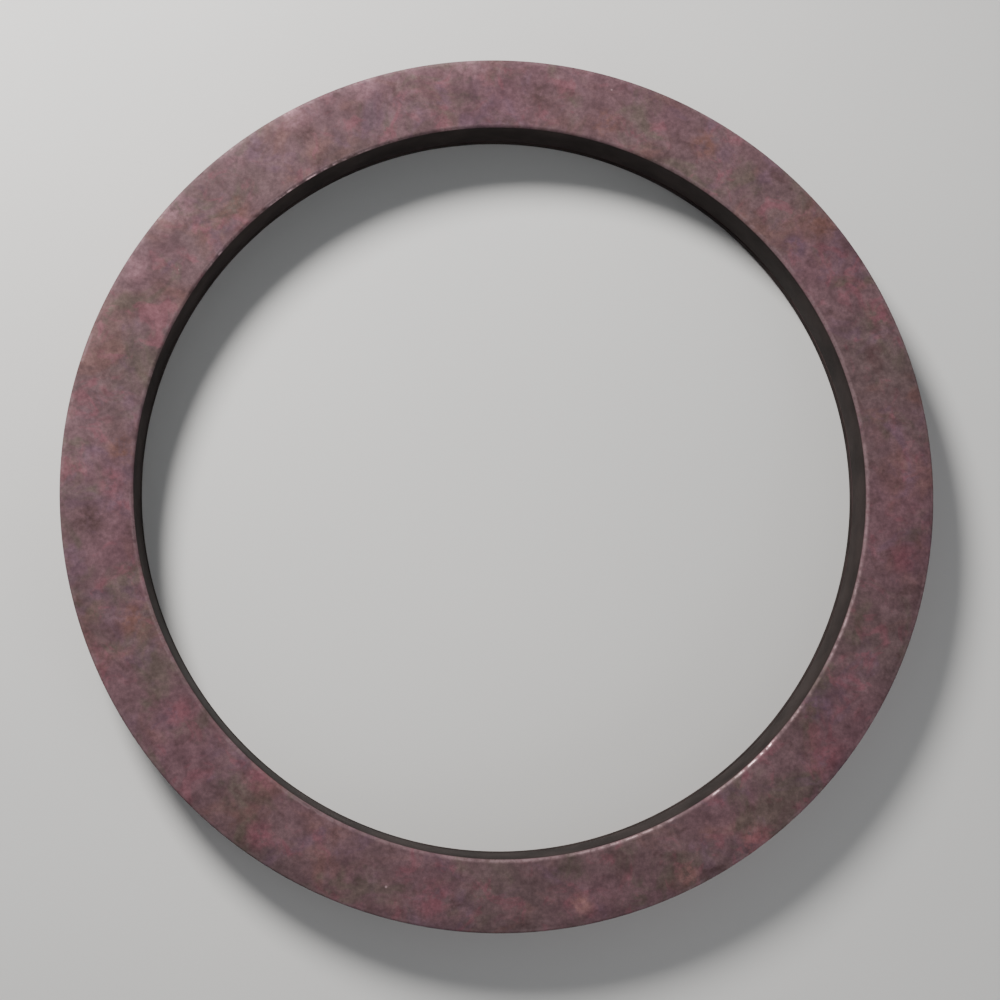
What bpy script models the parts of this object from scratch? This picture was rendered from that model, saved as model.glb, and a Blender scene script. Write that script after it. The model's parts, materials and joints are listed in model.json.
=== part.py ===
"""Ball slewing ring: two L-section rings that turn on one row of caged balls.

The front ring is a full-width flange with a rim down its bore side. The rear ring is
the same section turned half round: a full-width flange with a rim up its outer side.
The raceways face each other across the gap between the two rims. The bearing lies on
its rear face, with +Z along its axis and its plain front face on top.
"""

from math import acos, cos, pi, radians, sin

import bmesh
import bpy
from mathutils import Matrix

MM = 0.001

# Envelope
OUTER_RADIUS = 82.5 * MM
BORE_RADIUS = 69.0 * MM
WIDTH = 11.0 * MM
EDGE_CHAMFER = 0.5 * MM
RING_SIDES = 72

# Ring sections
FLANGE_THICKNESS = 2.2 * MM
PARTING_GAP = 0.35 * MM
RIM_GAP = 1.7 * MM

# Balls, raceways and cage
BALL_RADIUS = 2.0 * MM
BALL_COUNT = 48
RACEWAY_RADIUS = 2.15 * MM
RACEWAY_STEPS = 6
CAGE_THICKNESS = 1.2 * MM
CAGE_HEIGHT = 6.0 * MM
POCKET_RADIUS = 2.2 * MM
POCKET_SIDES = 12

# Seals, each held in a groove of one flange, with its lip close to the other ring's rim
SEAL_GROOVE_WIDTH = 2.2 * MM
SEAL_GROOVE_DEPTH = 1.0 * MM
SEAL_GROOVE_EDGE = 1.85 * MM
SEAL_FIT_GAP = 0.15 * MM
SEAL_LIP_WIDTH = 0.6 * MM
SEAL_LIP_GAP = 0.1 * MM

# Plug of the hole that the balls go in by, and the pin that locks it, in the rear ring
PLUG_ANGLE = radians(270)
PLUG_RADIUS = 2.05 * MM
PLUG_HOLE_RADIUS = 2.3 * MM
PLUG_INNER_END = 77.0 * MM
PLUG_RECESS = 0.25 * MM
PULLER_HOLE_RADIUS = 0.7 * MM
PULLER_HOLE_DEPTH = 1.0 * MM
PIN_RADIUS = 0.75 * MM
PIN_HOLE_RADIUS = 1.0 * MM
PIN_PITCH_RADIUS = 80.2 * MM
PIN_BOTTOM = 0.4 * MM
PIN_TOP = 6.5 * MM
PIN_HOLE_TOP = 6.8 * MM

# Screw that closes the grease hole in the rear ring
GREASE_ANGLE = radians(0)
GREASE_SCREW_RADIUS = 1.25 * MM
GREASE_HOLE_RADIUS = 1.55 * MM
GREASE_DUCT_RADIUS = 0.7 * MM
GREASE_SEAT = 79.0 * MM
GREASE_SCREW_LENGTH = 2.8 * MM
SOCKET_RADIUS = 0.8 * MM
SOCKET_DEPTH = 1.2 * MM

# Small parts
SMALL_SIDES = 16
SMALL_CHAMFER = 0.15 * MM
FIT_GAP = 0.3 * MM
CUT_PAST = 1.0 * MM

# Worked out from the sizes above
PITCH_RADIUS = (OUTER_RADIUS + BORE_RADIUS) / 2
MIDDLE_HEIGHT = WIDTH / 2
FRONT_FLANGE_UNDERSIDE = WIDTH - FLANGE_THICKNESS
FRONT_RIM_RADIUS = PITCH_RADIUS - RIM_GAP / 2
FRONT_RIM_END = FLANGE_THICKNESS + PARTING_GAP


def make_collection(name):
    collection = bpy.data.collections.new(name)
    bpy.context.scene.collection.children.link(collection)
    return collection


def make_material(name, colour, roughness, metallic):
    material = bpy.data.materials.new(name)
    material.use_nodes = True
    shader = material.node_tree.nodes["Principled BSDF"]
    shader.inputs["Base Color"].default_value = (*colour, 1.0)
    shader.inputs["Roughness"].default_value = roughness
    shader.inputs["Metallic"].default_value = metallic
    material.diffuse_color = (*colour, 1.0)
    return material


def add_object(name, mesh, collection, parent=None):
    piece = bpy.data.objects.new(name, mesh)
    collection.objects.link(piece)
    piece.parent = parent
    return piece


def finish_mesh(mesh, material):
    mesh.materials.clear()
    mesh.materials.append(material)
    mesh.shade_smooth()
    mesh.set_sharp_from_angle(angle=radians(30))


def add_turned(name, profile, material, collection, parent=None, sides=RING_SIDES):
    """Turn a closed outline of (radius, height) points, given clockwise, about the Z axis."""
    outline = bpy.data.meshes.new(name + "_outline")
    corners = len(profile)
    outline.from_pydata([(radius, 0, height) for radius, height in profile],
                        [(i, (i + 1) % corners) for i in range(corners)], [])
    piece = add_object(name, outline, collection)
    screw = piece.modifiers.new("turn", "SCREW")
    screw.axis = "Z"
    screw.angle = 2 * pi
    screw.steps = sides
    screw.render_steps = sides
    screw.use_merge_vertices = True
    screw.merge_threshold = 0.00001
    evaluated = piece.evaluated_get(bpy.context.evaluated_depsgraph_get())
    solid = bpy.data.meshes.new_from_object(evaluated)
    piece.modifiers.clear()
    piece.data = solid
    piece.parent = parent
    bpy.data.meshes.remove(outline)
    finish_mesh(solid, material)
    return piece


def mesh_of_cylinders(name, cylinders, sides=SMALL_SIDES):
    """Capped cylinders in one mesh, each (frame, radius, low, high) along its frame's Z axis."""
    bm = bmesh.new()
    for frame, radius, low, high in cylinders:
        matrix = frame @ Matrix.Translation((0, 0, (low + high) / 2))
        bmesh.ops.create_cone(bm, cap_ends=True, segments=sides, radius1=radius, radius2=radius,
                              depth=high - low, matrix=matrix)
    mesh = bpy.data.meshes.new(name)
    bm.to_mesh(mesh)
    bm.free()
    return mesh


def radial_frame(angle):
    """A frame whose Z axis runs outwards along a radius at the middle of the width."""
    return (Matrix.Translation((0, 0, MIDDLE_HEIGHT)) @ Matrix.Rotation(angle, 4, "Z")
            @ Matrix.Rotation(pi / 2, 4, "Y"))


def upright_frame(angle, radius):
    """A frame whose Z axis is parallel to the bearing's axis."""
    return Matrix.Translation((radius * cos(angle), radius * sin(angle), 0))


def subtract(piece, cutter):
    cutter.hide_render = True
    cutter.display_type = "WIRE"
    boolean = piece.modifiers.new(cutter.name, "BOOLEAN")
    boolean.operation = "DIFFERENCE"
    boolean.solver = "EXACT"
    boolean.object = cutter


def drill(piece, name, cylinders, cutters, sides=SMALL_SIDES):
    subtract(piece, add_object(name, mesh_of_cylinders(name, cylinders, sides), cutters))


def chamfer_ends(piece):
    bevel = piece.modifiers.new("chamfer", "BEVEL")
    bevel.width = SMALL_CHAMFER
    bevel.segments = 1
    bevel.limit_method = "ANGLE"
    bevel.angle_limit = radians(60)


def raceway_points():
    """The groove in the front ring's rim, from its top edge to its bottom edge."""
    half_angle = acos(RIM_GAP / 2 / RACEWAY_RADIUS)
    angles = [pi + half_angle * (2 * step / RACEWAY_STEPS - 1) for step in range(RACEWAY_STEPS + 1)]
    return [(PITCH_RADIUS + RACEWAY_RADIUS * cos(angle), MIDDLE_HEIGHT + RACEWAY_RADIUS * sin(angle))
            for angle in angles]


def front_ring_section():
    groove_outer = OUTER_RADIUS - SEAL_GROOVE_EDGE
    groove_inner = groove_outer - SEAL_GROOVE_WIDTH
    groove_top = FRONT_FLANGE_UNDERSIDE + SEAL_GROOVE_DEPTH
    return [
        (BORE_RADIUS + EDGE_CHAMFER, WIDTH),
        (OUTER_RADIUS - EDGE_CHAMFER, WIDTH),
        (OUTER_RADIUS, WIDTH - EDGE_CHAMFER),
        (OUTER_RADIUS, FRONT_FLANGE_UNDERSIDE),
        (groove_outer, FRONT_FLANGE_UNDERSIDE),
        (groove_outer, groove_top),
        (groove_inner, groove_top),
        (groove_inner, FRONT_FLANGE_UNDERSIDE),
        (FRONT_RIM_RADIUS, FRONT_FLANGE_UNDERSIDE),
        *raceway_points(),
        (FRONT_RIM_RADIUS, FRONT_RIM_END),
        (BORE_RADIUS + EDGE_CHAMFER, FRONT_RIM_END),
        (BORE_RADIUS, FRONT_RIM_END + EDGE_CHAMFER),
        (BORE_RADIUS, WIDTH - EDGE_CHAMFER),
    ]


def outer_seal_section():
    body_outer = OUTER_RADIUS - SEAL_GROOVE_EDGE - SEAL_FIT_GAP
    body_inner = body_outer - SEAL_GROOVE_WIDTH + 2 * SEAL_FIT_GAP
    body_top = FRONT_FLANGE_UNDERSIDE + SEAL_GROOVE_DEPTH - SEAL_FIT_GAP
    shoulder = FRONT_FLANGE_UNDERSIDE + SEAL_FIT_GAP
    lip_middle = (body_outer + body_inner) / 2
    lip_end = WIDTH - FRONT_RIM_END + SEAL_LIP_GAP
    return [
        (body_inner, body_top),
        (body_outer, body_top),
        (body_outer, shoulder),
        (lip_middle + SEAL_LIP_WIDTH / 2, lip_end),
        (lip_middle - SEAL_LIP_WIDTH / 2, lip_end),
        (body_inner, shoulder),
    ]


def half_turned(section):
    """The same section turned half round its own middle, as the rear pieces have it."""
    return [(2 * PITCH_RADIUS - radius, WIDTH - height) for radius, height in section]


def drill_rear_ring(rear_ring, cutters):
    plug_frame = radial_frame(PLUG_ANGLE)
    grease_frame = radial_frame(GREASE_ANGLE)
    past_rim = OUTER_RADIUS + CUT_PAST
    drill(rear_ring, "filling_hole_cutter",
          [(plug_frame, PLUG_HOLE_RADIUS, PITCH_RADIUS, past_rim)], cutters)
    drill(rear_ring, "pin_hole_cutter",
          [(upright_frame(PLUG_ANGLE, PIN_PITCH_RADIUS), PIN_HOLE_RADIUS, -CUT_PAST, PIN_HOLE_TOP)], cutters)
    drill(rear_ring, "grease_hole_cutter",
          [(grease_frame, GREASE_HOLE_RADIUS, GREASE_SEAT, past_rim)], cutters)
    drill(rear_ring, "grease_duct_cutter",
          [(grease_frame, GREASE_DUCT_RADIUS, PITCH_RADIUS, past_rim)], cutters)


def make_filling_plug(material, collection, cutters, parent):
    """A radial plug whose inner end carries on the raceway across the filling hole."""
    frame = radial_frame(PLUG_ANGLE)
    outer_end = OUTER_RADIUS - PLUG_RECESS
    plug = add_object("filling_plug", mesh_of_cylinders(
        "filling_plug", [(frame, PLUG_RADIUS, PLUG_INNER_END, outer_end)]), collection, parent)
    finish_mesh(plug.data, material)
    bpy.ops.mesh.primitive_torus_add(
        major_radius=PITCH_RADIUS, minor_radius=RACEWAY_RADIUS, major_segments=RING_SIDES,
        minor_segments=24, location=(0, 0, MIDDLE_HEIGHT))
    ball_path = bpy.context.object
    ball_path.name = "ball_path_cutter"
    bpy.context.collection.objects.unlink(ball_path)
    cutters.objects.link(ball_path)
    subtract(plug, ball_path)
    drill(plug, "plug_pin_hole_cutter",
          [(upright_frame(PLUG_ANGLE, PIN_PITCH_RADIUS), PIN_HOLE_RADIUS, -CUT_PAST, PIN_HOLE_TOP)], cutters)
    drill(plug, "puller_hole_cutter",
          [(frame, PULLER_HOLE_RADIUS, outer_end - PULLER_HOLE_DEPTH, outer_end + CUT_PAST)], cutters)
    return plug


def make_plug_pin(material, collection, parent):
    frame = upright_frame(PLUG_ANGLE, PIN_PITCH_RADIUS)
    pin = add_object("plug_locking_pin", mesh_of_cylinders(
        "plug_locking_pin", [(frame, PIN_RADIUS, PIN_BOTTOM, PIN_TOP)]), collection, parent)
    finish_mesh(pin.data, material)
    chamfer_ends(pin)
    return pin


def make_grease_screw(material, collection, cutters, parent):
    frame = radial_frame(GREASE_ANGLE)
    inner_end = GREASE_SEAT + FIT_GAP
    outer_end = inner_end + GREASE_SCREW_LENGTH
    screw = add_object("grease_hole_screw", mesh_of_cylinders(
        "grease_hole_screw", [(frame, GREASE_SCREW_RADIUS, inner_end, outer_end)]), collection, parent)
    finish_mesh(screw.data, material)
    chamfer_ends(screw)
    drill(screw, "hex_socket_cutter",
          [(frame, SOCKET_RADIUS, outer_end - SOCKET_DEPTH, outer_end + CUT_PAST)], cutters, sides=6)
    return screw


def make_cage(material, collection, cutters, parent):
    """A band with one flat for each ball, and a round pocket through the middle of each flat."""
    inner, outer = PITCH_RADIUS - CAGE_THICKNESS / 2, PITCH_RADIUS + CAGE_THICKNESS / 2
    bottom, top = MIDDLE_HEIGHT - CAGE_HEIGHT / 2, MIDDLE_HEIGHT + CAGE_HEIGHT / 2
    band = [(inner, top), (outer, top), (outer, bottom), (inner, bottom)]
    cage = add_turned("ball_cage", band, material, collection, parent, sides=BALL_COUNT)
    pockets = [(radial_frame(angle), POCKET_RADIUS, inner - CUT_PAST, outer + CUT_PAST)
               for angle in ball_angles()]
    drill(cage, "pocket_cutter", pockets, cutters, sides=POCKET_SIDES)
    return cage


def ball_angles():
    return [2 * pi * (index + 0.5) / BALL_COUNT for index in range(BALL_COUNT)]


def make_balls(material, collection, parent):
    bm = bmesh.new()
    bmesh.ops.create_icosphere(bm, subdivisions=2, radius=BALL_RADIUS)
    mesh = bpy.data.meshes.new("ball")
    bm.to_mesh(mesh)
    bm.free()
    mesh.materials.append(material)
    mesh.shade_smooth()
    for number, angle in enumerate(ball_angles(), start=1):
        ball = add_object(f"ball_{number:02d}", mesh, collection, parent)
        ball.location = (PITCH_RADIUS * cos(angle), PITCH_RADIUS * sin(angle), MIDDLE_HEIGHT)
        ball.rotation_euler = (0, 0, angle)


def build_slewing_ring():
    bearing = make_collection("slewing_ring_bearing")
    cutters = make_collection("cutters")
    front_steel = make_material("front_ring_oxidised_steel", (0.22, 0.12, 0.125), 0.75, 0.0)
    rear_steel = make_material("rear_ring_oxidised_steel", (0.19, 0.11, 0.115), 0.75, 0.0)
    ball_steel = make_material("polished_ball_steel", (0.62, 0.63, 0.65), 0.12, 1.0)
    plug_steel = make_material("ground_plug_steel", (0.42, 0.42, 0.43), 0.4, 1.0)
    pin_steel = make_material("spring_pin_steel", (0.3, 0.3, 0.31), 0.35, 1.0)
    screw_steel = make_material("black_screw_steel", (0.05, 0.05, 0.055), 0.5, 0.6)
    cage_plastic = make_material("cage_plastic", (0.6, 0.55, 0.42), 0.5, 0.0)
    outer_rubber = make_material("outer_seal_rubber", (0.02, 0.02, 0.022), 0.7, 0.0)
    inner_rubber = make_material("inner_seal_rubber", (0.025, 0.024, 0.024), 0.7, 0.0)

    front_ring = add_turned("front_ring", front_ring_section(), front_steel, bearing)
    add_turned("outer_seal", outer_seal_section(), outer_rubber, bearing, parent=front_ring)

    rear_ring = add_turned("rear_ring", half_turned(front_ring_section()), rear_steel, bearing)
    drill_rear_ring(rear_ring, cutters)
    add_turned("inner_seal", half_turned(outer_seal_section()), inner_rubber, bearing, parent=rear_ring)
    make_filling_plug(plug_steel, bearing, cutters, rear_ring)
    make_plug_pin(pin_steel, bearing, rear_ring)
    make_grease_screw(screw_steel, bearing, cutters, rear_ring)

    cage_axis = add_object("cage_axis", None, bearing)
    make_cage(cage_plastic, bearing, cutters, cage_axis)
    make_balls(ball_steel, bearing, cage_axis)


for leftover in list(bpy.data.objects):
    bpy.data.objects.remove(leftover, do_unlink=True)
build_slewing_ring()
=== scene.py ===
import json
from math import acos, atan, cos, degrees, pi, radians, sin

import bpy
from mathutils import Matrix, Vector


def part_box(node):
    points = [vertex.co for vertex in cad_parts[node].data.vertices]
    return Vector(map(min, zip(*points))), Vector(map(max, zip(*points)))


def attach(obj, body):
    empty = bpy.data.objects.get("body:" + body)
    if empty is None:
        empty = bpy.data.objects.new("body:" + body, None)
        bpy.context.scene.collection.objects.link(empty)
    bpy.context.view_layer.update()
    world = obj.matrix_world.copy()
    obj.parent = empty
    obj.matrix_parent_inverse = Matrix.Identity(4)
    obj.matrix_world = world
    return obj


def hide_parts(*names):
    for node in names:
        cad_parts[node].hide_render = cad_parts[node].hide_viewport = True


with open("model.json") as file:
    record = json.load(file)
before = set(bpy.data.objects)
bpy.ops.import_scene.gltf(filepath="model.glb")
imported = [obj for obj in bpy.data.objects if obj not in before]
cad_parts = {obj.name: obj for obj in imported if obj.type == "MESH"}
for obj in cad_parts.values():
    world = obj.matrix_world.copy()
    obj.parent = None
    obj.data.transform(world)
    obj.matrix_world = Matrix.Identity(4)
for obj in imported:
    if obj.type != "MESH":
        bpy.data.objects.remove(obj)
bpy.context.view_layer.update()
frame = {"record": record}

# the frame gives the outside sizes, and every length is in metres
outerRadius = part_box("front_ring")[1][0]
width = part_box("front_ring")[1][2]
boreRadius = 0.069
pitchRadius = (outerRadius + boreRadius) / 2
middleHeight = width / 2
millimetre = 0.001
sliverSize = 0.001 * millimetre  # corners closer than this are merged after a cut


def workOn(piece):
    if bpy.context.object and bpy.context.object.mode != "OBJECT":
        bpy.ops.object.mode_set(mode="OBJECT")
    bpy.ops.object.select_all(action="DESELECT")
    if piece:
        piece.select_set(True)
        bpy.context.view_layer.objects.active = piece


def applyPlace(piece):
    workOn(piece)
    bpy.ops.object.transform_apply(location=True, rotation=True, scale=True)


def applyModifier(piece, kind, **settings):
    workOn(piece)
    modifier = piece.modifiers.new(kind.title(), kind)
    for name, value in settings.items():
        setattr(modifier, name, value)
    bpy.ops.object.modifier_apply(modifier=modifier.name)


# a circle drawn up the outline by extruding, moving and scaling its edge loop
def turnOutline(name, outline, sides, closed=True):
    workOn(None)
    radius, height = outline[0]
    bpy.ops.mesh.primitive_circle_add(vertices=sides, radius=radius, fill_type="NOTHING",
                                      location=(0, 0, height))
    piece = bpy.context.object
    piece.name = name
    bpy.ops.object.mode_set(mode="EDIT")
    for nextRadius, nextHeight in outline[1:]:
        bpy.ops.mesh.extrude_edges_move(TRANSFORM_OT_translate={"value": (0, 0, nextHeight - height)})
        growth = nextRadius / radius
        bpy.ops.transform.resize(value=(growth, growth, 1), center_override=(0, 0, nextHeight))
        radius, height = nextRadius, nextHeight
    bpy.ops.mesh.select_all(action="DESELECT")
    bpy.ops.mesh.select_non_manifold()
    if closed:
        bpy.ops.mesh.bridge_edge_loops()
    else:
        bpy.ops.mesh.fill_holes(sides=0)
    bpy.ops.mesh.select_all(action="SELECT")
    bpy.ops.mesh.normals_make_consistent(inside=False)
    bpy.ops.object.mode_set(mode="OBJECT")
    applyPlace(piece)
    return piece


# lays a rod that was turned along Z on a radius, pointing outwards
def layOnRadius(piece, angle):
    piece.matrix_world = (Matrix.Translation((0, 0, middleHeight)) @ Matrix.Rotation(angle, 4, "Z")
                          @ Matrix.Rotation(pi / 2, 4, "Y"))
    applyPlace(piece)


def moveTo(piece, place):
    piece.location = place
    applyPlace(piece)


def cutWith(piece, cutter):
    applyModifier(piece, "BOOLEAN", operation="DIFFERENCE", solver="EXACT", object=cutter)
    applyModifier(piece, "WELD", merge_threshold=sliverSize)
    bpy.data.objects.remove(cutter, do_unlink=True)


def copyTurned(piece, name, angle):
    twin = piece.copy()
    twin.data = piece.data.copy()
    twin.name = name
    twin.data.transform(Matrix.Rotation(angle, 4, "Z"))
    bpy.context.collection.objects.link(twin)
    return twin


def joinPieces(pieces):
    workOn(pieces[0])
    for piece in pieces:
        piece.select_set(True)
    bpy.ops.object.join()
    return pieces[0]


def finishPiece(piece, material, body, node, smoothAngle=32):
    workOn(piece)
    bpy.ops.object.shade_smooth_by_angle(angle=radians(smoothAngle))
    piece.data.materials.clear()
    piece.data.materials.append(material)
    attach(piece, body)
    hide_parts(node)


# points of a round corner, from one angle to another
def arcPoints(centre, radius, startDegrees, endDegrees, steps):
    turns = [radians(startDegrees + (endDegrees - startDegrees) * i / steps) for i in range(steps + 1)]
    return [(centre[0] + radius * cos(turn), centre[1] + radius * sin(turn)) for turn in turns]


def addNode(tree, kind, inputs=None, **settings):
    node = tree.nodes.new(kind)
    for name, value in settings.items():
        setattr(node, name, value)
    for name, value in (inputs or {}).items():
        if isinstance(value, bpy.types.NodeSocket):
            tree.links.new(value, node.inputs[name])
        else:
            node.inputs[name].default_value = value
    return node


def calculate(tree, operation, first, second=0.0):
    return addNode(tree, "ShaderNodeMath", {0: first, 1: second}, operation=operation).outputs[0]


def between(tree, value, low, high, outLow=0.0, outHigh=1.0):
    edges = {"Value": value, "From Min": low, "From Max": high, "To Min": outLow, "To Max": outHigh}
    return addNode(tree, "ShaderNodeMapRange", edges, interpolation_type="SMOOTHSTEP").outputs["Result"]


def noise(tree, place, scale, detail=3.0, roughness=0.55, distortion=0.0):
    inputs = {"Vector": place, "Scale": scale, "Detail": detail, "Roughness": roughness,
              "Distortion": distortion}
    return addNode(tree, "ShaderNodeTexNoise", inputs).outputs["Fac"]


def ramp(tree, value, stops):
    node = addNode(tree, "ShaderNodeValToRGB", {"Fac": value})
    elements = node.color_ramp.elements
    while len(elements) < len(stops):
        elements.new(0.5)
    for element, (position, colour) in zip(elements, stops):
        element.position = position
        element.color = (*colour, 1.0)
    return node.outputs["Color"]


def mixColour(tree, factor, first, second):
    node = addNode(tree, "ShaderNodeMix", data_type="RGBA")
    for index, value in ((0, factor), (6, first), (7, second)):
        if isinstance(value, bpy.types.NodeSocket):
            tree.links.new(value, node.inputs[index])
        else:
            node.inputs[index].default_value = value if index == 0 else (*value, 1.0)
    return node.outputs[2]


def shaded(tree, colour, tone):
    inputs = {0: colour, "Scale": tone}
    return addNode(tree, "ShaderNodeVectorMath", inputs, operation="SCALE").outputs["Vector"]


def distanceFrom(tree, place, point):
    inputs = {0: place, 1: point}
    return addNode(tree, "ShaderNodeVectorMath", inputs, operation="DISTANCE").outputs["Value"]


# the pattern's own space: the piece's place, moved or stretched
def patternSpace(tree, place, **change):
    inputs = {"Vector": place, **{name.title(): value for name, value in change.items()}}
    return addNode(tree, "ShaderNodeMapping", inputs).outputs[0]


def newMaterial(name):
    material = bpy.data.materials.new(name)
    material.use_nodes = True
    tree = material.node_tree
    return material, tree, tree.nodes["Principled BSDF"]


def objectPlace(tree):
    return addNode(tree, "ShaderNodeTexCoord").outputs["Object"]


def bump(tree, height, strength, distance, under=None):
    inputs = {"Height": height, "Strength": strength, "Distance": distance}
    if under:
        inputs["Normal"] = under
    return addNode(tree, "ShaderNodeBump", inputs).outputs["Normal"]


# where a point lies on the bearing: across its radius and up its axis
def ringPlace(tree):
    place = objectPlace(tree)
    split = addNode(tree, "ShaderNodeSeparateXYZ", {0: place})
    flat = addNode(tree, "ShaderNodeCombineXYZ", {"X": split.outputs["X"], "Y": split.outputs["Y"]})
    return place, distanceFrom(tree, flat.outputs[0], (0, 0, 0)), split.outputs["Z"]


ringForm = {
    "sides": 360,
    "flangeThickness": 2.2 * millimetre,
    "partingGap": 0.35 * millimetre,
    "rimGap": 1.7 * millimetre,
    "innerRound": 0.85 * millimetre,
    "outerRound": 0.5 * millimetre,
    "easedWidth": 2.8 * millimetre,
    "easedDrop": 0.36 * millimetre,
    "easedSteps": 8,
    "cornerRound": 0.12 * millimetre,
    "racewayRadius": 2.15 * millimetre,
    "racewaySteps": 20,
    "sealGrooveEdge": 1.85 * millimetre,
    "sealGrooveWidth": 2.2 * millimetre,
    "sealGrooveDepth": 1.0 * millimetre,
}


# the worn outer border of the face, falling away to the rounded outer edge
def easedBorder(form):
    slope = atan(2 * form["easedDrop"] / form["easedWidth"])
    rounding = form["outerRound"]
    edgeRadius = outerRadius - rounding * (1 - sin(slope))
    edgeHeight = width - form["easedDrop"]
    border = []
    for step in range(form["easedSteps"]):
        share = step / form["easedSteps"]
        radius = edgeRadius - form["easedWidth"] * (1 - share)
        border.append((radius, width - form["easedDrop"] * share ** 2))
    centre = (outerRadius - rounding, edgeHeight - rounding * cos(slope))
    return border + arcPoints(centre, rounding, 90 - degrees(slope), 0, 6)


# the front ring's section, clockwise from the inner edge of its face
def frontRingOutline(form):
    innerRound, small = form["innerRound"], form["cornerRound"]
    underside = width - form["flangeThickness"]
    rimRadius = pitchRadius - form["rimGap"] / 2
    rimEnd = form["flangeThickness"] + form["partingGap"]
    grooveOuter = outerRadius - form["sealGrooveEdge"]
    grooveInner = grooveOuter - form["sealGrooveWidth"]
    grooveTop = underside + form["sealGrooveDepth"]
    halfRaceway = degrees(acos(form["rimGap"] / 2 / form["racewayRadius"]))
    outline = arcPoints((boreRadius + innerRound, width - innerRound), innerRound, 180, 90, 8)
    outline += easedBorder(form)
    outline += arcPoints((outerRadius - small, underside + small), small, 0, -90, 2)
    outline += [(grooveOuter, underside), (grooveOuter, grooveTop), (grooveInner, grooveTop),
                (grooveInner, underside), (rimRadius, underside)]
    outline += arcPoints((pitchRadius, middleHeight), form["racewayRadius"], 180 - halfRaceway,
                         180 + halfRaceway, form["racewaySteps"])
    outline += arcPoints((rimRadius - small, rimEnd + small), small, 0, -90, 2)
    outline += arcPoints((boreRadius + small, rimEnd + small), small, -90, -180, 2)
    return outline


# the rear pieces have the same sections turned half round
def halfTurned(outline):
    return [(2 * pitchRadius - radius, width - height) for radius, height in outline]


# soft patches of oxide hue, single stains and painted highlights in their places, and a fine dark and light
# grain
def heatOxide(tree, place, shifted, look):
    colour = ramp(tree, noise(tree, shifted, look["driftScale"], 2.0), look["driftStops"])
    for scale, low, high, strength, tint in look["patches"]:
        amount = between(tree, noise(tree, shifted, scale, 4.0, 0.62, 0.8), low, high, 0.0, strength)
        colour = mixColour(tree, amount, colour, look["tints"][tint])
    ragged = between(tree, noise(tree, shifted, look["raggedScale"], 4.0, 0.65), *look["raggedRange"])
    # the spots with the pale tint are painted highlight, partly rubbed wear; the others are stains
    for turn, across, reach, tint in look["stainsAndHighlights"]:
        radius = boreRadius + across * (outerRadius - boreRadius)
        middle = (radius * cos(radians(turn)), radius * sin(radians(turn)), width)
        away = distanceFrom(tree, place, middle)
        patch = between(tree, away, look["stainAndHighlightCore"] * reach * millimetre, reach * millimetre, 1.0, 0.0)
        colour = mixColour(tree, calculate(tree, "MULTIPLY", patch, ragged), colour, look["tints"][tint])
    for scale, depth in look["grain"]:
        tone = between(tree, noise(tree, shifted, scale, 3.0, 0.6), 0.25, 0.75, 1 - depth, 1 + depth)
        colour = shaded(tree, colour, tone)
    return colour


# a few tiny pale nicks where bare metal shows
def nickMask(tree, shifted, look):
    cell = addNode(tree, "ShaderNodeTexVoronoi", {"Vector": shifted, "Scale": look["nickScale"]})
    draw = addNode(tree, "ShaderNodeSeparateColor", {0: cell.outputs["Color"]}).outputs[0]
    chosen = calculate(tree, "GREATER_THAN", draw, look["nickRarity"])
    spot = between(tree, cell.outputs["Distance"], *look["nickEdge"], look["nickStrength"], 0.0)
    return calculate(tree, "MULTIPLY", chosen, spot)


# the rounded edges of both flat faces, rubbed in places
def rubMask(tree, shifted, across, height, look):
    reach = look["rubWidth"]
    inner = between(tree, across, boreRadius + reach / 2, boreRadius + reach, 1.0, 0.0)
    outer = between(tree, across, outerRadius - reach, outerRadius - reach / 2, 0.0, look["outerRub"])
    fromMiddle = calculate(tree, "ABSOLUTE", calculate(tree, "SUBTRACT", height, middleHeight))
    nearFace = between(tree, fromMiddle, middleHeight - reach, middleHeight - reach / 2)
    edges = calculate(tree, "MULTIPLY", calculate(tree, "MAXIMUM", inner, outer), nearFace)
    for scale in look["rubBreaks"]:
        broken = between(tree, noise(tree, shifted, scale, 3.0, 0.6), 0.38, 0.62, look["rubLeast"], 1.0)
        edges = calculate(tree, "MULTIPLY", edges, broken)
    return edges
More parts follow.
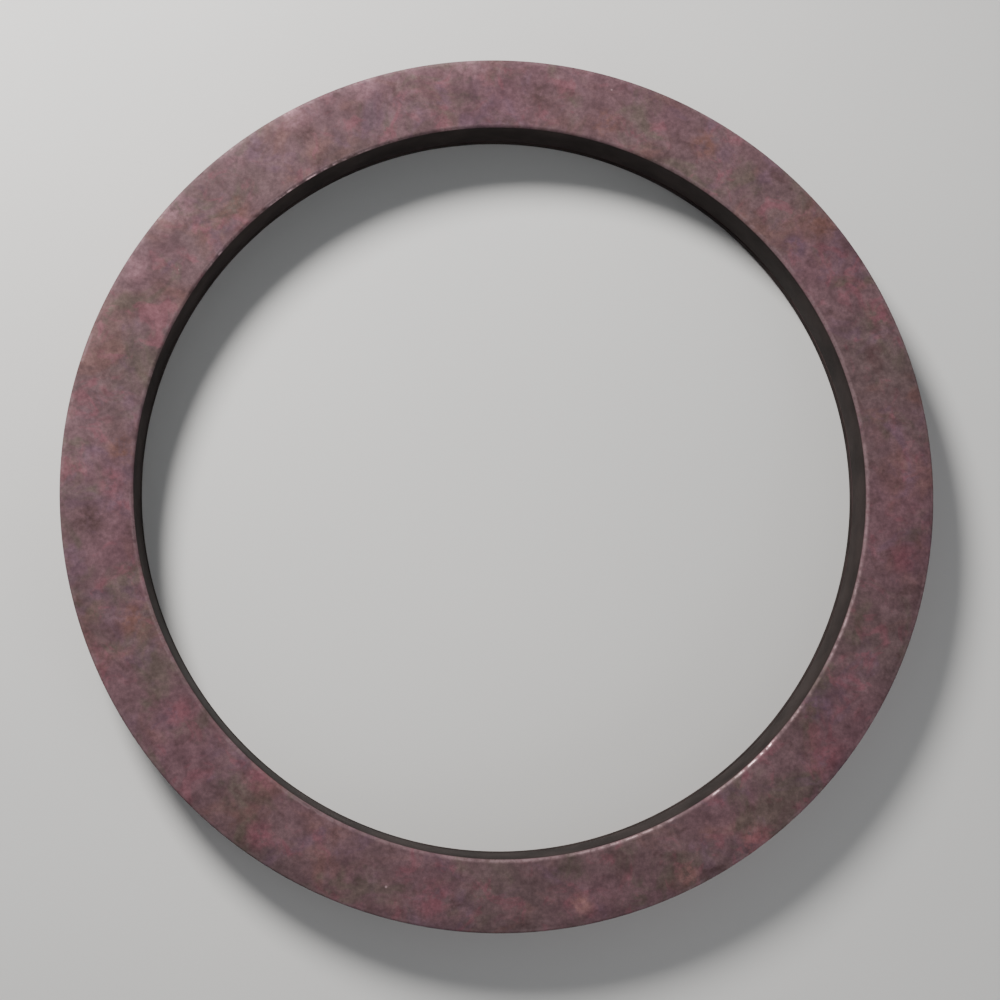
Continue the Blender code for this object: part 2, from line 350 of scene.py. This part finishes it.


# heat oxide on the faces, a bore whose own darker turned finish is darkened further with painted shade,
# bright ground steel inside the bearing
def ringSteel(name, look):
    material, tree, shader = newMaterial(name)
    shader.inputs["Specular IOR Level"].default_value = look["gloss"]
    place, across, height = ringPlace(tree)
    shifted = patternSpace(tree, place, location=look["grainShift"])
    turning = calculate(tree, "ADD", across, height)

    rub = rubMask(tree, shifted, across, height, look)
    colour = heatOxide(tree, place, shifted, look)
    colour = mixColour(tree, nickMask(tree, shifted, look), colour, look["bareMetal"])
    worn = calculate(tree, "MULTIPLY", rub, look["rubStrength"])
    colour = mixColour(tree, worn, colour, look["bareMetal"])

    # painted shade: the bore wall gets a near-black colour on top of its own darker turned finish
    boreStart, boreEnd = look["boreFade"]
    bore = between(tree, across, boreRadius + boreStart, boreRadius + boreEnd, 1.0, 0.0)
    boreTone = between(tree, noise(tree, shifted, look["boreScale"], 3.0), 0.3, 0.7, 0.7, 1.3)
    colour = mixColour(tree, bore, colour, shaded(tree, look["boreColourAndShade"], boreTone))

    fromPitch = calculate(tree, "ABSOLUTE", calculate(tree, "SUBTRACT", across, pitchRadius))
    fromMiddle = calculate(tree, "ABSOLUTE", calculate(tree, "SUBTRACT", height, middleHeight))
    groundHeight = middleHeight - look["groundInset"]
    ground = calculate(tree, "MULTIPLY", calculate(tree, "LESS_THAN", fromPitch, look["groundReach"]),
                       calculate(tree, "LESS_THAN", fromMiddle, groundHeight))
    lines = calculate(tree, "SINE", calculate(tree, "MULTIPLY", turning, look["groundLines"]))
    groundTone = between(tree, lines, -1.0, 1.0, look["groundDark"], 1.0)
    groundColour = shaded(tree, look["groundSteel"], groundTone)
    tree.links.new(mixColour(tree, ground, colour, groundColour), shader.inputs["Base Color"])
    bare = calculate(tree, "MULTIPLY", rub, look["rubMetal"])
    tree.links.new(calculate(tree, "MAXIMUM", ground, bare), shader.inputs["Metallic"])

    section = addNode(tree, "ShaderNodeCombineXYZ", {"X": fromPitch, "Y": fromMiddle}).outputs[0]
    fromBall = distanceFrom(tree, section, (0, 0, 0))
    grooveStart, grooveEnd = look["raceFade"]
    groove = between(tree, fromBall, ringForm["racewayRadius"] + grooveStart,
                     ringForm["racewayRadius"] + grooveEnd, 1.0, 0.0)
    rough = between(tree, noise(tree, shifted, look["raggedScale"], 4.0, 0.6), 0.3, 0.7,
                    *look["faceRoughness"])
    for mask, finish in ((rub, "rubRoughness"), (bore, "boreRoughness"), (ground, "groundRoughness"),
                         (groove, "raceRoughness")):
        rough = addNode(tree, "ShaderNodeMix", {0: mask, 2: rough, 3: look[finish]}).outputs[0]
    tree.links.new(rough, shader.inputs["Roughness"])

    ridges = calculate(tree, "SINE", calculate(tree, "MULTIPLY", turning, look["turningLines"]))
    skin = None
    for height, (strength, depth) in ((noise(tree, shifted, look["skinScale"], 4.0, 0.6), look["skinBump"]),
                                      (noise(tree, shifted, look["pitScale"], 2.0), look["pitBump"]),
                                      (ridges, look["turningBump"])):
        skin = bump(tree, height, strength, depth, skin)
    tree.links.new(skin, shader.inputs["Normal"])
    return material


frontLook = {
    "grainShift": (0.31, 0.17, 0.05),
    "driftScale": 34,
    "driftStops": ((0.3, (0.128, 0.068, 0.082)), (0.5, (0.118, 0.07, 0.079)),
                   (0.72, (0.106, 0.074, 0.074))),
    "tints": {
        "olive": (0.088, 0.072, 0.059),
        "brown": (0.132, 0.068, 0.062),
        "violet": (0.114, 0.067, 0.093),
        "rose": (0.156, 0.066, 0.081),
        "rust": (0.212, 0.09, 0.1),
        "paleRust": (0.2, 0.102, 0.1),
        "dark": (0.076, 0.044, 0.046),
        # painted highlight, partly rubbed wear, for the lit outer border
        "pale": (0.19, 0.102, 0.12),
    },
    # scale, where it starts and is full in the noise, strength, tint
    "patches": [(62, 0.5, 0.68, 0.6, "brown"), (88, 0.5, 0.66, 0.68, "olive"),
                (110, 0.52, 0.68, 0.6, "violet"), (190, 0.53, 0.68, 0.75, "rose"),
                (150, 0.57, 0.7, 0.6, "dark")],
    # degrees round from the right, share of the way across the face, reach in millimetres, tint
    "stainsAndHighlights": [(20, 0.5, 3.5, "dark"), (25, 0.8, 3.5, "rose"), (40, 0.3, 3.5, "violet"),
               (40, 0.8, 4, "brown"), (60, 0.6, 4, "brown"), (75, 0.3, 4, "brown"),
               # the pale entries on the outer border, 95 to 150 degrees round, are painted highlight,
               # partly rubbed wear, on the side the key light falls on
               (85, 0.5, 3.5, "dark"), (95, 0.9, 5, "pale"), (110, 0.9, 4.5, "pale"),
               (120, 0.6, 3.5, "dark"), (120, 0.9, 4.5, "pale"), (130, 0.9, 4, "pale"),
               (135, 0.3, 4, "brown"), (140, 0.9, 4.5, "pale"), (150, 0.8, 3.5, "pale"),
               (175, 0.2, 4, "brown"), (180, 0.3, 3.5, "rose"), (185, 0.6, 4.5, "dark"),
               (200, 0.3, 4.5, "brown"), (215, 0.3, 4, "rose"), (230, 0.1, 4, "rose"),
               (235, 0.7, 4, "rose"), (260, 0.6, 5, "rose"), (280, 0.7, 3, "paleRust"),
               (295, 0.8, 3, "paleRust"), (305, 0.9, 4.5, "rust"), (320, 0.7, 5, "rose"),
               (325, 0.2, 4.5, "violet"), (350, 0.6, 4, "rose")],
    "grain": [(75, 0.12), (190, 0.12), (430, 0.19), (1500, 0.18)],
    "raggedScale": 420,
    "raggedRange": (0.36, 0.6),
    "stainAndHighlightCore": 0.2,
    "bareMetal": (0.42, 0.29, 0.31),
    "nickScale": 330,
    "nickRarity": 0.965,
    "nickEdge": (0.04, 0.11),
    "nickStrength": 0.6,
    "rubWidth": 0.95 * millimetre,
    "rubBreaks": (95, 850),
    "rubLeast": 0.2,
    "outerRub": 0.35,
    "rubStrength": 0.5,
    "rubRoughness": 0.3,
    "rubMetal": 0.75,
    "gloss": 0.09,
    # the bore's own darker finish, darkened further with painted shade
    "boreColourAndShade": (0.025, 0.0185, 0.0175),
    "boreScale": 130,
    "boreFade": (0.03 * millimetre, 0.2 * millimetre),
    "boreRoughness": 0.7,
    "faceRoughness": (0.57, 0.71),
    "groundSteel": (0.5, 0.5, 0.51),
    "groundReach": 6.3 * millimetre,
    "groundInset": 0.7 * millimetre,
    "groundLines": 52000,
    "groundDark": 0.8,
    "groundRoughness": 0.32,
    "raceFade": (0.05 * millimetre, 0.15 * millimetre),
    "raceRoughness": 0.12,
    "turningLines": 26000,
    "skinScale": 520,
    "pitScale": 2600,
    # strength and depth of each layer of relief
    "skinBump": (0.35, 0.06 * millimetre),
    "pitBump": (0.25, 0.03 * millimetre),
    "turningBump": (0.12, 0.01 * millimetre),
}
rearLook = dict(frontLook, grainShift=(0.07, 0.52, 0.21), stainsAndHighlights=[], rubStrength=0.18)

print("turning the rings")
frontRing = turnOutline("frontRing", frontRingOutline(ringForm), ringForm["sides"])
rearRing = turnOutline("rearRing", halfTurned(frontRingOutline(ringForm)), ringForm["sides"])

# the rear ring's holes, whose angles and places the plug, its pin and the screw share
holeForm = {
    "sides": 48,
    "plugAngle": radians(270),
    "greaseAngle": 0.0,
    "pinPitch": 80.2 * millimetre,
    "past": outerRadius + millimetre,
    "plugHole": 2.3 * millimetre,
    "plugMouth": 2.55 * millimetre,
    "greaseDuct": 0.7 * millimetre,
    "greaseHole": 1.55 * millimetre,
    "greaseMouth": 1.8 * millimetre,
    "greaseSeat": 79 * millimetre,
    "mouthDepth": 0.25 * millimetre,
    "pinHole": 1.0 * millimetre,
    "pinMouth": 1.2 * millimetre,
    "pinHoleTop": 6.8 * millimetre,
}


def pinPlace(form):
    return (form["pinPitch"] * cos(form["plugAngle"]), form["pinPitch"] * sin(form["plugAngle"]), 0)


def pinHoleCutter(form):
    outline = [(form["pinMouth"], -millimetre), (form["pinMouth"], 0),
               (form["pinHole"], form["mouthDepth"]), (form["pinHole"], form["pinHoleTop"])]
    cutter = turnOutline("pinHoleCutter", outline, form["sides"], closed=False)
    moveTo(cutter, pinPlace(form))
    return cutter


def drillRearRing(form):
    mouthStart = outerRadius - form["mouthDepth"]
    plugOutline = [(form["plugHole"], pitchRadius), (form["plugHole"], mouthStart),
                   (form["plugMouth"], outerRadius), (form["plugMouth"], form["past"])]
    greaseOutline = [(form["greaseDuct"], pitchRadius), (form["greaseDuct"], form["greaseSeat"]),
                     (form["greaseHole"], form["greaseSeat"]), (form["greaseHole"], mouthStart),
                     (form["greaseMouth"], outerRadius), (form["greaseMouth"], form["past"])]
    for outline, angle in ((plugOutline, form["plugAngle"]), (greaseOutline, form["greaseAngle"])):
        cutter = turnOutline("holeCutter", outline, form["sides"], closed=False)
        layOnRadius(cutter, angle)
        cutWith(rearRing, cutter)
    cutWith(rearRing, pinHoleCutter(form))


print("drilling the rear ring")
drillRearRing(holeForm)
frontSteel = ringSteel("frontRingSteel", frontLook)
rearSteel = ringSteel("rearRingSteel", rearLook)
finishPiece(frontRing, frontSteel, "front_ring", "front_ring")
finishPiece(rearRing, rearSteel, "rear_ring", "rear_ring")


sealForm = {
    "sides": 360,
    "middle": outerRadius - ringForm["sealGrooveEdge"] - ringForm["sealGrooveWidth"] / 2,
    "halfBody": 0.95 * millimetre,
    "bodyTop": width - 1.35 * millimetre,
    "shoulder": width - 2.0 * millimetre,
    "lipRoot": width - 2.12 * millimetre,
    "lipEnd": width - 2.45 * millimetre,
    "halfLipRoot": 0.36 * millimetre,
    "halfLipEnd": 0.2 * millimetre,
    "lipBlunt": 0.06 * millimetre,
    "cornerRound": 0.15 * millimetre,
}


def outerSealOutline(form):
    middle, halfBody, corner = form["middle"], form["halfBody"], form["cornerRound"]
    left, right = middle - halfBody + corner, middle + halfBody - corner
    outline = arcPoints((left, form["bodyTop"] - corner), corner, 180, 90, 3)
    outline += arcPoints((right, form["bodyTop"] - corner), corner, 90, 0, 3)
    outline += arcPoints((right, form["shoulder"] + corner), corner, 0, -90, 3)
    root, tip, lipEnd, blunt = form["halfLipRoot"], form["halfLipEnd"], form["lipEnd"], form["lipBlunt"]
    outline += [(middle + root, form["lipRoot"]), (middle + tip + blunt, lipEnd + blunt),
                (middle + tip, lipEnd), (middle - tip, lipEnd), (middle - tip - blunt, lipEnd + blunt),
                (middle - root, form["lipRoot"])]
    outline += arcPoints((left, form["shoulder"] + corner), corner, -90, -180, 3)
    return outline


def sealRubber(name, look):
    material, tree, shader = newMaterial(name)
    place = objectPlace(tree)
    bloom = noise(tree, place, look["bloomScale"], 3.0, 0.6)
    dusted = between(tree, bloom, 0.45, 0.7, 0.0, look["bloomStrength"])
    colour = mixColour(tree, dusted, look["colour"], look["bloomColour"])
    tree.links.new(colour, shader.inputs["Base Color"])
    tree.links.new(between(tree, bloom, 0.3, 0.7, *look["roughness"]), shader.inputs["Roughness"])
    skin = noise(tree, place, look["skinScale"], 2.0)
    tree.links.new(bump(tree, skin, look["skinBump"], look["skinDepth"]), shader.inputs["Normal"])
    return material


outerSealLook = {
    "colour": (0.018, 0.018, 0.02),
    "bloomColour": (0.05, 0.048, 0.045),
    "bloomScale": 240,
    "bloomStrength": 0.6,
    "roughness": (0.5, 0.68),
    "skinScale": 3000,
    "skinBump": 0.2,
    "skinDepth": 0.02 * millimetre,
}
innerSealLook = dict(outerSealLook, colour=(0.022, 0.021, 0.021), bloomColour=(0.055, 0.052, 0.048),
                     bloomScale=190)

print("moulding the seals")
outerSeal = turnOutline("outerSeal", outerSealOutline(sealForm), sealForm["sides"])
innerSeal = turnOutline("innerSeal", halfTurned(outerSealOutline(sealForm)), sealForm["sides"])
finishPiece(outerSeal, sealRubber("outerSealRubber", outerSealLook), "front_ring", "outer_seal")
finishPiece(innerSeal, sealRubber("innerSealRubber", innerSealLook), "rear_ring", "inner_seal")


def machinedSteel(name, look):
    material, tree, shader = newMaterial(name)
    place = objectPlace(tree)
    streak = noise(tree, patternSpace(tree, place, scale=look["streakScale"]), 1.0, 3.0, 0.6)
    film = noise(tree, place, look["filmScale"], 3.0, 0.6)
    colour = mixColour(tree, between(tree, streak, 0.35, 0.65), look["colour"], look["streakColour"])
    filmed = between(tree, film, 0.52, 0.72, 0.0, look["filmStrength"])
    colour = mixColour(tree, filmed, colour, look["filmColour"])
    tree.links.new(colour, shader.inputs["Base Color"])
    shader.inputs["Metallic"].default_value = look["metallic"]
    tree.links.new(between(tree, film, 0.3, 0.7, *look["roughness"]), shader.inputs["Roughness"])
    tree.links.new(bump(tree, streak, look["bump"], look["bumpDepth"]), shader.inputs["Normal"])
    return material


plugForm = {
    "radius": 2.05 * millimetre,
    "innerEnd": 77 * millimetre,
    "outerEnd": outerRadius - 0.25 * millimetre,
    "pullerRadius": 0.7 * millimetre,
    "pullerDepth": 1.0 * millimetre,
    "chamfer": 0.15 * millimetre,
    "look": {"colour": (0.4, 0.4, 0.41), "streakColour": (0.31, 0.31, 0.32),
             "filmColour": (0.2, 0.14, 0.11), "filmStrength": 0.6, "filmScale": 700,
             "streakScale": (900, 900, 5200), "metallic": 1.0, "roughness": (0.32, 0.5),
             "bump": 0.3, "bumpDepth": 0.01 * millimetre},
}


def makeFillingPlug(form):
    chamfer, end, puller = form["chamfer"], form["outerEnd"], form["pullerRadius"]
    outline = [(form["radius"], form["innerEnd"]), (form["radius"], end - chamfer),
               (form["radius"] - chamfer, end), (puller + chamfer, end), (puller, end - chamfer),
               (puller, end - form["pullerDepth"])]
    plug = turnOutline("fillingPlug", outline, holeForm["sides"], closed=False)
    layOnRadius(plug, holeForm["plugAngle"])
    workOn(None)
    bpy.ops.mesh.primitive_torus_add(
        major_radius=pitchRadius, minor_radius=ringForm["racewayRadius"],
        major_segments=ringForm["sides"], minor_segments=2 * ringForm["racewaySteps"],
        location=(0, 0, middleHeight))
    cutWith(plug, bpy.context.object)
    cutWith(plug, pinHoleCutter(holeForm))
    return plug


pinForm = {
    "radius": 0.75 * millimetre,
    "innerRadius": 0.42 * millimetre,
    "bottom": 0.4 * millimetre,
    "top": 6.5 * millimetre,
    "taper": 0.14 * millimetre,
    "slotWidth": 0.26 * millimetre,
    "look": {"colour": (0.34, 0.34, 0.35), "streakColour": (0.26, 0.26, 0.27),
             "filmColour": (0.14, 0.1, 0.08), "filmStrength": 0.5, "filmScale": 700,
             "streakScale": (4200, 4200, 600), "metallic": 1.0, "roughness": (0.24, 0.42),
             "bump": 0.2, "bumpDepth": 0.01 * millimetre},
}


# a rolled spring pin: a tube with tapered ends and one slot down its length
def makeLockingPin(form):
    outer, inner, taper = form["radius"], form["innerRadius"], form["taper"]
    top, bottom = form["top"], form["bottom"]
    outline = [(inner, top), (outer - taper, top), (outer, top - 2 * taper), (outer, bottom + 2 * taper),
               (outer - taper, bottom), (inner, bottom)]
    pin = turnOutline("plugLockingPin", outline, holeForm["sides"])
    workOn(None)
    bpy.ops.mesh.primitive_cube_add(size=1, location=(0, outer, middleHeight))
    slot = bpy.context.object
    slot.scale = (form["slotWidth"], 2 * outer, 2 * width)
    applyPlace(slot)
    cutWith(pin, slot)
    moveTo(pin, pinPlace(holeForm))
    return pin


screwForm = {
    "radius": 1.25 * millimetre,
    "rootRadius": 1.03 * millimetre,
    "innerEnd": 79.3 * millimetre,
    "outerEnd": 82.1 * millimetre,
    "pitch": 0.45 * millimetre,
    "threads": 5,
    "crest": (0.42, 0.54),  # where the ridge's flat top starts and ends, in pitches
    "chamfer": 0.13 * millimetre,
    "socketSides": 6,
    "socketRadius": 0.8 * millimetre,
    "socketDepth": 1.2 * millimetre,
    "look": {"colour": (0.035, 0.035, 0.038), "streakColour": (0.055, 0.054, 0.055),
             "filmColour": (0.16, 0.12, 0.1), "filmStrength": 0.4, "filmScale": 700,
             "streakScale": (2500, 2500, 2500), "metallic": 0.55, "roughness": (0.38, 0.56),
             "bump": 0.3, "bumpDepth": 0.01 * millimetre},
}


def makeGreaseScrew(form):
    start, end, pitch = form["innerEnd"], form["outerEnd"], form["pitch"]
    root, crest, chamfer = form["rootRadius"], form["radius"], form["chamfer"]
    crestStart, crestEnd = form["crest"]
    outline = [(root - chamfer, start), (root, start + chamfer)]
    for turn in range(form["threads"]):
        foot = start + 1.5 * chamfer + turn * pitch
        outline += [(root, foot), (crest, foot + crestStart * pitch), (crest, foot + crestEnd * pitch)]
    outline += [(root, end - 1.5 * chamfer), (root, end)]
    screw = turnOutline("greaseHoleScrew", outline, holeForm["sides"], closed=False)
    socketRadius, socketMouth = form["socketRadius"], form["socketRadius"] + chamfer
    socketOutline = [(socketRadius, end - form["socketDepth"]), (socketRadius, end - chamfer),
                     (socketMouth, end), (socketMouth, end + millimetre)]
    socket = turnOutline("socketCutter", socketOutline, form["socketSides"], closed=False)
    cutWith(screw, socket)
    layOnRadius(screw, holeForm["greaseAngle"])
    return screw


print("making the plug, pin and screw")
finishPiece(makeFillingPlug(plugForm), machinedSteel("plugGroundSteel", plugForm["look"]),
            "rear_ring", "filling_plug")
finishPiece(makeLockingPin(pinForm), machinedSteel("pinSpringSteel", pinForm["look"]),
            "rear_ring", "plug_locking_pin")
finishPiece(makeGreaseScrew(screwForm), machinedSteel("screwBlackSteel", screwForm["look"]),
            "rear_ring", "grease_hole_screw")


cageForm = {
    "sides": 288,
    "thickness": 1.2 * millimetre,
    "height": 6.0 * millimetre,
    "edgeRound": 0.16 * millimetre,
    "pockets": 48,
    "pocketSides": 32,
    "pocketRadius": 2.2 * millimetre,
    "pocketMouth": 2.5 * millimetre,
    "mouthDepth": 0.3 * millimetre,
    "grooveSides": 16,
    "grooveRadius": 0.6 * millimetre,
    "grooveDepth": 0.22 * millimetre,
    "look": {"stops": ((0.3, (0.66, 0.6, 0.45)), (0.55, (0.6, 0.53, 0.39)), (0.8, (0.55, 0.47, 0.33))),
             "flowScale": 140, "greaseColour": (0.34, 0.25, 0.13), "greaseScale": 420,
             "greaseStrength": 0.55, "roughness": (0.5, 0.22), "skinScale": 1800, "skinBump": 0.15,
             "skinDepth": 0.03 * millimetre, "translucence": 0.08,
             "lightReach": (0.0008, 0.0006, 0.0004)},
}


def ballAngle(index):
    return 2 * pi * (index + 0.5) / cageForm["pockets"]


def makeCage(form):
    inner, outer = pitchRadius - form["thickness"] / 2, pitchRadius + form["thickness"] / 2
    bottom, top = middleHeight - form["height"] / 2, middleHeight + form["height"] / 2
    corner = form["edgeRound"]
    outline = arcPoints((inner + corner, top - corner), corner, 180, 90, 3)
    outline += arcPoints((outer - corner, top - corner), corner, 90, 0, 3)
    outline += arcPoints((outer - corner, bottom + corner), corner, 0, -90, 3)
    outline += arcPoints((inner + corner, bottom + corner), corner, -90, -180, 3)
    cage = turnOutline("ballCage", outline, form["sides"])

    mouth, pocket, depth = form["pocketMouth"], form["pocketRadius"], form["mouthDepth"]
    holeOutline = [(mouth, inner - millimetre), (mouth, inner - depth / 3),
                   (pocket, inner + depth * 2 / 3), (pocket, outer - depth * 2 / 3),
                   (mouth, outer + depth / 3), (mouth, outer + millimetre)]
    hole = turnOutline("pocketCutter", holeOutline, form["pocketSides"], closed=False)
    layOnRadius(hole, 0)
    grooveRadius = form["grooveRadius"]
    grooveOutline = [(grooveRadius, 0), (grooveRadius, width)]
    greaseGroove = turnOutline("grooveCutter", grooveOutline, form["grooveSides"], closed=False)
    moveTo(greaseGroove, (outer + grooveRadius - form["grooveDepth"], 0, 0))
    cutters = []
    for index in range(form["pockets"]):
        cutters += [copyTurned(hole, "pocketCutter", ballAngle(index)),
                    copyTurned(greaseGroove, "grooveCutter", ballAngle(index - 0.5))]
    bpy.data.objects.remove(hole, do_unlink=True)
    bpy.data.objects.remove(greaseGroove, do_unlink=True)
    cutWith(cage, joinPieces(cutters))
    return cage


def cagePlastic(name, look):
    material, tree, shader = newMaterial(name)
    place = objectPlace(tree)
    flow = noise(tree, place, look["flowScale"], 3.0, 0.55, 1.0)
    colour = ramp(tree, flow, look["stops"])
    grease = noise(tree, place, look["greaseScale"], 3.0, 0.6)
    greased = between(tree, grease, 0.52, 0.7, 0.0, look["greaseStrength"])
    colour = mixColour(tree, greased, colour, look["greaseColour"])
    tree.links.new(colour, shader.inputs["Base Color"])
    tree.links.new(between(tree, grease, 0.4, 0.7, *look["roughness"]), shader.inputs["Roughness"])
    shader.inputs["Subsurface Weight"].default_value = look["translucence"]
    shader.inputs["Subsurface Radius"].default_value = look["lightReach"]
    skin = noise(tree, place, look["skinScale"], 3.0)
    tree.links.new(bump(tree, skin, look["skinBump"], look["skinDepth"]), shader.inputs["Normal"])
    return material


def ballSteel(name, look):
    material, tree, shader = newMaterial(name)
    film = noise(tree, objectPlace(tree), look["filmScale"], 3.0, 0.6, 0.6)
    colour = mixColour(tree, between(tree, film, 0.45, 0.72), look["colour"], look["filmColour"])
    tree.links.new(colour, shader.inputs["Base Color"])
    shader.inputs["Metallic"].default_value = 1.0
    tree.links.new(between(tree, film, 0.35, 0.75, *look["roughness"]), shader.inputs["Roughness"])
    return material


# a cube cut into squares and blown round, so that the ball has no poles
def makeBall(form):
    workOn(None)
    bpy.ops.mesh.primitive_cube_add(size=2 * form["radius"])
    ball = bpy.context.object
    bpy.ops.object.mode_set(mode="EDIT")
    bpy.ops.mesh.select_all(action="SELECT")
    bpy.ops.mesh.subdivide(number_cuts=form["cuts"])
    bpy.ops.object.mode_set(mode="OBJECT")
    applyModifier(ball, "CAST", cast_type="SPHERE", factor=1.0, use_radius_as_size=False,
                  size=form["radius"])
    moveTo(ball, (pitchRadius, 0, middleHeight))
    return ball


def bodyOf(node):
    return next(body for body, nodes in frame["record"]["behaviour"]["bodies"].items() if node in nodes)


print("moulding the cage")
finishPiece(makeCage(cageForm), cagePlastic("cageNylon", cageForm["look"]), bodyOf("ball_cage"),
            "ball_cage")

ballForm = {
    "radius": 2.0 * millimetre,
    "cuts": 9,
    "look": {"colour": (0.62, 0.63, 0.65), "filmColour": (0.5, 0.47, 0.42), "filmScale": 520,
             "roughness": (0.06, 0.2)},
}

print("setting the balls")
ballMaterial = ballSteel("ballBearingSteel", ballForm["look"])
firstBall = makeBall(ballForm)
for index in range(cageForm["pockets"]):
    ball = copyTurned(firstBall, f"ball{index + 1:02d}", ballAngle(index))
    node = f"ball_{index + 1:02d}"
    finishPiece(ball, ballMaterial, bodyOf(node), node, 180)
bpy.data.objects.remove(firstBall, do_unlink=True)


studio = {
    "floorSize": 4.0,
    "floorDrop": 0.2 * millimetre,
    "floorTones": ((0.68, 0.685, 0.68), (0.72, 0.72, 0.71)),
    "floorRoughness": 0.85,
    # place, size, power, colour
    "lights": {"keyLight": ((-0.2, 0.3, 0.26), 0.13, 3.6, (1.0, 0.97, 0.94)),
               "fillLight": ((0.5, -0.3, 0.8), 0.9, 0.5, (1.0, 1.0, 1.0)),
               "sideLight": ((0.42, -0.42, 0.14), 0.4, 1.3, (1.0, 1.0, 1.0))},
    "worldColour": (0.8, 0.82, 0.85),
    "worldStrength": 0.19,
    # the camera's place in outer radii from the middle of the face, its tilts in degrees
    "eye": Vector((-0.302, -0.3355, 3.4222)),
    "pitch": 5.03,
    "roll": -4.77,
    "lens": 54.6,
}


def makeFloor(form):
    workOn(None)
    bpy.ops.mesh.primitive_plane_add(size=form["floorSize"], location=(0, 0, -form["floorDrop"]))
    floor = bpy.context.object
    floor.name = "studioFloor"
    material, tree, shader = newMaterial("paleFloor")
    place = objectPlace(tree)
    cloud = between(tree, noise(tree, place, 6, 2.0), 0.3, 0.7)
    tree.links.new(mixColour(tree, cloud, *form["floorTones"]), shader.inputs["Base Color"])
    shader.inputs["Roughness"].default_value = form["floorRoughness"]
    floor.data.materials.append(material)


def addSoftLight(name, place, size, power, colour):
    light = bpy.data.lights.new(name, "AREA")
    light.shape = "DISK"
    light.size = size
    light.energy = power
    light.color = colour
    lamp = bpy.data.objects.new(name, light)
    lamp.location = place
    lamp.rotation_euler = (-Vector(place)).to_track_quat("-Z", "Y").to_euler()
    bpy.context.collection.objects.link(lamp)


def addCamera(form):
    camera = bpy.data.cameras.new("camera")
    camera.lens = form["lens"]
    camera.sensor_width = 36
    camera.clip_start = 0.01
    eye = bpy.data.objects.new("camera", camera)
    eye.location = form["eye"] * outerRadius + Vector((0, 0, width))
    eye.rotation_euler = (radians(form["pitch"]), radians(form["roll"]), 0)
    bpy.context.collection.objects.link(eye)
    bpy.context.scene.camera = eye


print("lighting the studio")
makeFloor(studio)
for name, settings in studio["lights"].items():
    addSoftLight(name, *settings)
world = bpy.data.worlds.new("studioWorld")
world.use_nodes = True
background = world.node_tree.nodes["Background"]
background.inputs["Color"].default_value = (*studio["worldColour"], 1.0)
background.inputs["Strength"].default_value = studio["worldStrength"]
bpy.context.scene.world = world
addCamera(studio)

print("scene ready")
